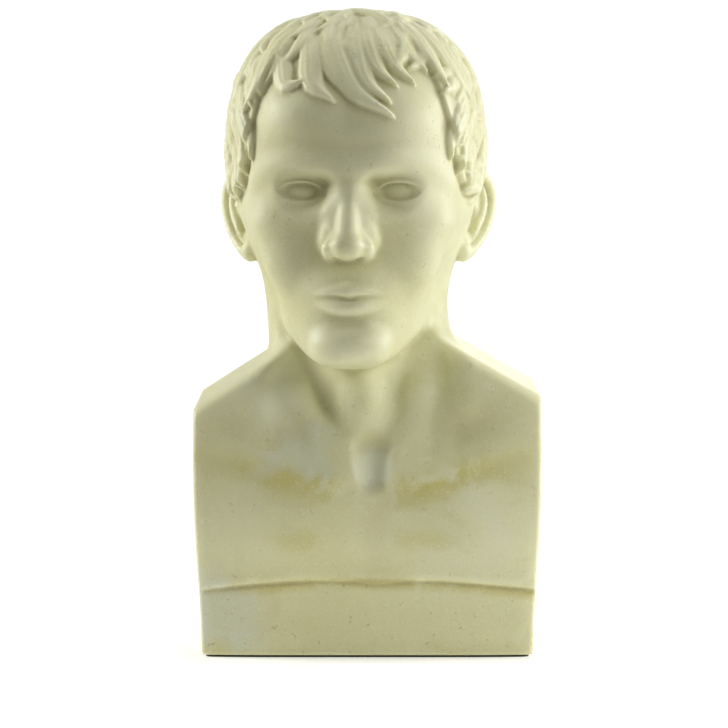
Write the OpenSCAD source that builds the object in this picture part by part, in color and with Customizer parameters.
// Herm bust carved from one block of marble, with a sheet of felt glued under its foot.
// Frame: the origin is at the centre of the foot, on the surface that the felt rests on.
// +Z is up, the face looks along -Y, and +X is on the right of someone who faces it.

/* [Block] */
// Width of the block at its foot
foot_w = 164; // [140:1:200]
// Width of the block across the shoulders
shoulder_w = 173; // [145:1:210]
// Depth of the block, from the front of its foot band to its flat back
block_d = 112; // [95:1:140]
// Height of the shoulders' outer back corners above the underside
shoulder_h = 133; // [105:1:160]
// How much higher the +X shoulder stands than the other one
shoulder_lift = 6; // [0:0.5:12]
// Slope of the shoulders up towards the neck, in degrees
shoulder_slope = 31; // [20:1:40]
// Height of the plain foot band at its middle
band_h = 38; // [25:1:55]
// How far the chest stands proud of the foot band
chest_step = 2.5; // [1:0.25:5]

/* [Neck] */
// Width of the neck under the ears
neck_w = 88; // [72:1:104]
// Depth of the neck
neck_d = 92; // [76:1:108]
// Height of the hollow between the collarbones
notch_h = 93; // [75:1:110]

/* [Head] */
// Height of the head from under the chin to the top of the skull
head_h = 176; // [140:1:205]
// Height of the chin above the underside of the stone
chin_h = 142; // [115:1:175]
// Thickness of the carved hair
hair_t = 4.5; // [2.5:0.25:7]
// Sideways shift of the head from the middle of the block
head_shift = -5.5; // [-8:0.5:8]
// Forward shift of the ear holes from the middle of the block
head_forward = 10; // [2:0.5:18]
// Turn of the head, in degrees, positive towards +X
head_turn = -3; // [-12:0.5:12]

/* [Base felt] */
// Thickness of the felt
felt_t = 1; // [0.5:0.25:3]
// Inset of the felt from the edges of the foot
felt_inset = 2; // [1:0.5:8]
// Radius of the felt's corners
felt_corner = 4; // [1:0.5:10]

/* [Hidden] */

// The head is laid out in canon parts, 232 to the head's height from chin to skull top.
canon = head_h / 232;
// Middle of the head: the eye line, above the ear holes.
head_at = [head_shift, -head_forward, felt_t + chin_h + head_h / 2];
// Front of the foot band and back of the block
front_y = -block_d / 2;
back_y = block_d / 2;

// Rounding where two soft forms run together
function blend(a, b, k) = let (h = max(0, k - abs(a - b)) / k) max(a, b) + h * h * k / 4;
function ease(t) = let (c = min(1, max(0, t))) c * c * (3 - 2 * c);
function bump(d, width) = exp(-d * d / (width * width));

// Smooth curve through stations [u, value], where value is a number or a list
function tangent(s, i) = (i == 0 || i == len(s) - 1)
    ? 0 * s[i][1]
    : (s[i + 1][1] - s[i - 1][1]) / (s[i + 1][0] - s[i - 1][0]);
function seat(s, u, i = 0) = (i >= len(s) - 2 || u < s[i + 1][0]) ? i : seat(s, u, i + 1);
function through(s, u) =
    let (i = seat(s, u), d = s[i + 1][0] - s[i][0], t = min(1, max(0, (u - s[i][0]) / d)), r = 1 - t)
    (1 + 2 * t) * r * r * s[i][1] + t * t * (3 - 2 * t) * s[i + 1][1]
    + t * r * r * d * tangent(s, i) - t * t * r * d * tangent(s, i + 1);

// Closed solid through rings of points, each ring with the same number of points
module loft(rings) {
    n = len(rings[0]);
    last = len(rings) - 1;
    points = [for (ring = rings) each ring];
    walls = [for (i = [0:last - 1], j = [0:n - 1])
        let (a = i * n + j, b = i * n + (j + 1) % n)
        each [[a, a + n, b], [b, a + n, b + n]]];
    foot = [for (j = [0:n - 1]) j];
    top = [for (j = [n - 1:-1:0]) last * n + j];
    polyhedron(points, concat([foot, top], walls), convexity = 6);
}

// ---- Block -------------------------------------------------------------

// Half width of the block at a height over the underside
function half_width(h) = foot_w / 2 + (shoulder_w - foot_w) / 2 * ease(0.15 + 0.85 * h / (shoulder_h - 30));
// Height of the shoulders' back edge over the underside, flat behind the neck
function ridge(x) =
    let (outward = max(abs(x), neck_w * 0.36))
    shoulder_h + (shoulder_w / 2 - outward) * tan(shoulder_slope) + shoulder_lift * x / shoulder_w
    - shoulder_lift / 2;
// How far the shoulders' front edge lies below the back edge, and how far it is rounded off
front_drop = 5;
front_round = 6;
// Lower edge of the chest, an arch with a small dip under the breastbone
function chest_edge(x) = band_h - 6 * pow(2 * x / shoulder_w, 2) - 2.2 * bump(x, 14);

// Outline of the stone's foot, seen from above
module foot_outline() {
    steps = 24;
    polygon(concat(
        [for (i = [0:steps]) let (x = (2 * i / steps - 1) * half_width(0)) [x, front_y - breast(x, 0)]],
        [[half_width(0), back_y], [-half_width(0), back_y]]));
}

// Profile of the chest in front of the foot band, by height over the underside
chest_profile = [
    [0, 0], [band_h, 0.4], [notch_h - 34, 3.4], [notch_h - 12, 3], [notch_h + 8, -1],
    [shoulder_h - 8, -5], [shoulder_h + 30, -14]
];
// Forward relief of the breast: two broad muscles, the breastbone, the collarbones, the hollows over
// them, the notch, the rounding towards the sides, and the fall back beside the neck
function breast(x, h) =
    let (collar = notch_h + 1 + 0.13 * abs(x) - 4 * bump(abs(x) - 30, 20))
    through(chest_profile, h)
    + 2.5 * bump(abs(x) - 40, 26) * bump(h - 68, 24)
    - 1.4 * bump(x - 2, 7) * bump(h - 66, 22)
    + 2.2 * bump(h - collar, 6) * ease((abs(x) - 6) / 10)
    - 3.5 * bump(abs(x) - 50, 20) * bump(h - collar - 15, 9)
    - 5 * bump(x - 3, 9) * bump(h - notch_h - 3, 9)
    - 4 * pow(abs(x) / (shoulder_w / 2), 5)
    - (15.5 - 0.05 * x) * ease((h - notch_h - 4) / 36) * ease((54 - abs(x)) / 28)
    + chest_step * ease((h - chest_edge(x)) / 1.5);

// Values at 0 to count, in straight runs between the given stations
function through_list(s, count) = [for (i = [0:count]) lookup(i, s)];

module block() {
    columns = 30;
    rows = 26;
    // Rows crowd together at the chest's lower edge and at the shoulders' rounded front edge.
    rise = through_list([[0, 0], [5, band_h / shoulder_h - 0.055], [12, band_h / shoulder_h + 0.035], [22, 0.93], [26, 1]], rows);
    rings = [for (v = rise)
        let (
            front = [for (i = [0:columns])
                let (s = 2 * i / columns - 1, x0 = s * shoulder_w / 2, top = ridge(x0) - front_drop,
                    level = v * (shoulder_h - front_drop),
                    // Levels follow the arch low down, and the shoulders' slope higher up.
                    h = level + (chest_edge(x0) - band_h) * bump(level - band_h, 16) * ease(level / 12)
                        + (top - shoulder_h + front_drop) * ease((level - 1.3 * band_h) / (shoulder_h - front_drop - 1.3 * band_h)))
                [s * half_width(h), front_y - breast(s * half_width(h), h) + front_round * pow(max(0, (v - 0.9) / 0.1), 3), felt_t + h]],
            back = [for (i = [columns:-1:0])
                let (s = 2 * i / columns - 1, h = v * ridge(s * shoulder_w / 2))
                [s * half_width(h), back_y, felt_t + h]]
        )
        concat(front, back)];
    strips(rings, columns + 1);
}
// A loft whose end faces are strips between the front run and the back run of a ring
module strips(rings, run) {
    n = len(rings[0]);
    last = len(rings) - 1;
    points = [for (ring = rings) each ring];
    walls = [for (i = [0:last - 1], j = [0:n - 1])
        let (a = i * n + j, b = i * n + (j + 1) % n)
        each [[a, a + n, b], [b, a + n, b + n]]];
    foot = [for (j = [0:run - 2])
        each [[j, j + 1, n - 1 - j], [j + 1, n - 2 - j, n - 1 - j]]];
    top = [for (j = [0:run - 2]) let (o = last * n)
        each [[o + j, o + n - 1 - j, o + j + 1], [o + j + 1, o + n - 1 - j, o + n - 2 - j]]];
    polyhedron(points, concat(walls, foot, top), convexity = 6);
}

// ---- Neck --------------------------------------------------------------

// [height over the underside, [middle x, middle y, half width, half depth]]
neck_lines = [
    [notch_h - 34, [1, 2, neck_w * 0.40, neck_d * 0.34]],
    [notch_h - 4, [1, -2, neck_w * 0.42, neck_d * 0.45]],
    [(notch_h + chin_h) / 2, [0, -4, neck_w * 0.46, neck_d * 0.46]],
    [chin_h - 2, [head_shift * 0.7, 2 - head_forward * 0.7, neck_w / 2, neck_d * 0.46]],
    [chin_h + 20, [head_shift, 8 - head_forward, neck_w * 0.52, neck_d * 0.45]],
    [chin_h + 66, [head_shift, 6 - head_forward, neck_w * 0.50, neck_d * 0.44]]
];

module neck() {
    around = 40;
    levels = 14;
    low = neck_lines[0][0];
    high = neck_lines[len(neck_lines) - 1][0];
    loft([for (j = [0:levels])
        let (h = low + (high - low) * j / levels, p = through(neck_lines, h),
            rise = (h - notch_h) / (chin_h - notch_h))
        [for (i = [0:around - 1])
            let (a = 360 * i / around, side = abs(a > 180 ? a - 360 : a),
                // The cord muscles run from behind the ears to the notch.
                cord = 2.6 * bump(side - 18 - 62 * max(0, rise), 14),
                apple = 1.8 * bump(side, 12) * bump(rise - 0.5, 0.25))
            [p[0] + (p[2] + cord) * sin(a), p[1] - (p[3] + cord + apple) * cos(a), felt_t + h]]]);
}

// Muscles of the nape, from the back of the head down onto the block
module nape() {
    hull() {
        translate([head_shift, 14 - head_forward, felt_t + chin_h + 60]) sphere(neck_w * 0.34, $fn = 20);
        for (side = [-1, 1]) {
            translate([side * neck_w * 0.22 + head_shift / 2, back_y - 38, felt_t + chin_h + 18])
                sphere(neck_w * 0.24, $fn = 16);
            translate([side * neck_w * 0.3, back_y - 22, felt_t + ridge(side * neck_w * 0.3) - 16])
                sphere(20, $fn = 16);
        }
    }
}

// ---- Head, in canon parts: x to the side, f forward, u up from the eye line ----

// [u, [middle f, half width, reach forward, reach back]]
skull_lines = [
    [-114, [60, 8, 12, 8]],
    [-110, [58, 23, 31, 24]],
    [-101, [52, 34, 43, 32]],
    [-90, [42, 43, 51, 38]],
    [-76, [28, 51, 63, 42]],
    [-62, [18, 56, 73, 50]],
    [-46, [8, 62, 82, 60]],
    [-30, [0, 66, 88, 72]],
    [-12, [-5, 70, 92, 82]],
    [4, [-5, 74, 95, 88]],
    [20, [-5, 77, 101, 91]],
    [40, [-5, 78, 99, 92]],
    [58, [-5, 78, 96, 90]],
    [76, [-5, 75, 89, 84]],
    [92, [-5, 66, 77, 75]],
    [104, [-5, 54, 62, 62]],
    [112, [-5, 36, 41, 43]],
    [116, [-5, 10, 12, 13]]
];
// Lower edge of the hair: a fringe, the temples, round the ears, and the nape
hair_line = [[0, 54], [22, 52], [38, 62], [52, 44], [64, 6], [78, 8], [98, 6], [118, -34], [150, -52], [180, -56]];
full = 2.25;

function hair_depth(a, u) =
    let (edge = through(hair_line, abs(a)) + 3 * sin(abs(a) * 17) * ease(u / 40))
    hair_t / canon * ease((u - edge) / 5) * (1 + 0.16 * sin(a * 19 + u * 5) * ease((110 - u) / 40));
// Hollows and swellings of the face, forward
function face_relief(x, u) =
    - 11 * bump(abs(x) - 31, 15) * bump(u - 1, 12)
    + 3 * bump(abs(x) - 22, 20) * bump(u - 18, 7)
    + 4 * bump(abs(x) - 44, 14) * bump(u + 24, 13)
    - 4 * bump(abs(x) - 40, 12) * bump(u + 60, 16)
    + 4 * bump(x, 26) * bump(u + 66, 16)
    - 4 * bump(x, 20) * bump(u + 84, 5)
    + 5 * bump(x, 17) * bump(u + 99, 10);
// A point of the head's surface: a is the angle from straight ahead
function skin(a, u, out = 0) =
    let (p = through(skull_lines, u), reach = abs(a) < 90 ? p[2] : p[3],
        r = pow(pow(abs(sin(a)) / p[1], full) + pow(abs(cos(a)) / reach, full), -1 / full),
        x = r * sin(a), f = p[0] + r * cos(a), relief = abs(a) < 80 ? face_relief(x, u) : 0,
        h = hair_depth(a, u) + out)
    [x + h * sin(a), -(f + relief * cos(a)) - h * cos(a), u + h * ease((u - 84) / 32)];

module skull() {
    around = 68;
    levels = 34;
    // Points crowd together at the front.
    angles = [for (i = [0:around - 1]) let (t = 2 * i / around - 1) 180 * t - 28 * sin(180 * t)];
    low = skull_lines[0][0];
    high = skull_lines[len(skull_lines) - 1][0];
    loft([for (j = [0:levels])
        let (t = j / levels, u = low + (high - low) * (t + 0.03 * sin(360 * t)))
        [for (a = angles) skin(a, u)]]);
}

module dot(p, r) {
    translate([p[0], -p[1], p[2]]) sphere(r, $fn = 12);
}

module nose() {
    hull() {
        dot([0, 85, 10], 7);
        dot([0, 106, -33], 8.5);
        dot([0, 98, -39], 7);
        for (side = [-1, 1]) dot([side * 11.5, 92, -37], 6.5);
    }
}

module lips() {
    hull() {
        for (side = [-1, 1]) {
            dot([side * 5, 97, -63], 5);
            dot([side * 22, 86, -67], 2.5);
        }
    }
    hull() {
        for (side = [-1, 1]) {
            dot([side * 6, 95, -74], 5.5);
            dot([side * 18, 87, -70], 2.5);
        }
    }
}

// Closed lids over each eyeball, upper and lower
module eyes() {
    for (side = [-1, 1]) {
        hull() {
            dot([side * 31, 71, 0], 10.5);
            dot([side * 18, 76, -1], 3);
            dot([side * 45, 66, -1], 3);
        }
        hull() {
            dot([side * 31, 77, 6], 5.5);
            dot([side * 20, 77, 3], 3);
            dot([side * 46, 67, 2], 3);
        }
    }
}

module ears() {
    for (side = [-1, 1]) {
        difference() {
            hull() {
                dot([side * 78, -14, 13], 4.5);
                dot([side * 74, 0, 10], 4);
                dot([side * 82, -24, 0], 4.5);
                dot([side * 76, -18, -22], 5);
                dot([side * 70, -4, -42], 5);
                dot([side * 68, 2, -14], 5);
            }
            hull() {
                dot([side * 88, -12, 4], 7);
                dot([side * 84, -8, -16], 6);
            }
        }
    }
}

// A lock of hair along the scalp through three places [angle, u], thinning to its tip
module lock(root, middle, tip, thick = 6) {
    places = [root, middle, tip];
    sizes = [thick, thick * 0.9, thick * 0.4];
    for (i = [0, 1])
        hull() for (k = [i, i + 1])
            translate(skin(places[k][0], places[k][1], -sizes[k] * 0.35)) sphere(sizes[k], $fn = 7);
}

module locks() {
    // Fringe, brushed forward and curling towards +X
    for (i = [0:6])
        lock([-36 + i * 10, 84 - 2 * abs(i - 3)], [-36 + i * 11, 66 - abs(i - 3)], [-27 + i * 11, 50 + abs(i - 4)], 7);
    // Temples, brushed down and forward
    for (side = [-1, 1], i = [0:3])
        lock([side * (76 + 8 * i), 66 - 13 * i], [side * (64 + 6 * i), 49 - 13 * i], [side * (54 + 5 * i), 33 - 11 * i], 7);
}

module head() {
    translate(head_at) rotate([0, 0, head_turn]) scale(canon) {
        skull();
        nose();
        lips();
        eyes();
        ears();
        locks();
    }
}

// ---- Parts -------------------------------------------------------------

module bust_stone() {
    color([0.86, 0.83, 0.70]) {
        block();
        neck();
        nape();
        head();
    }
}

// The sheet of felt under the foot
module base_felt() {
    color([0.16, 0.22, 0.16])
        linear_extrude(felt_t) offset(r = felt_corner, $fn = 32)
            offset(delta = -felt_inset - felt_corner) foot_outline();
}

bust_stone();
base_felt();
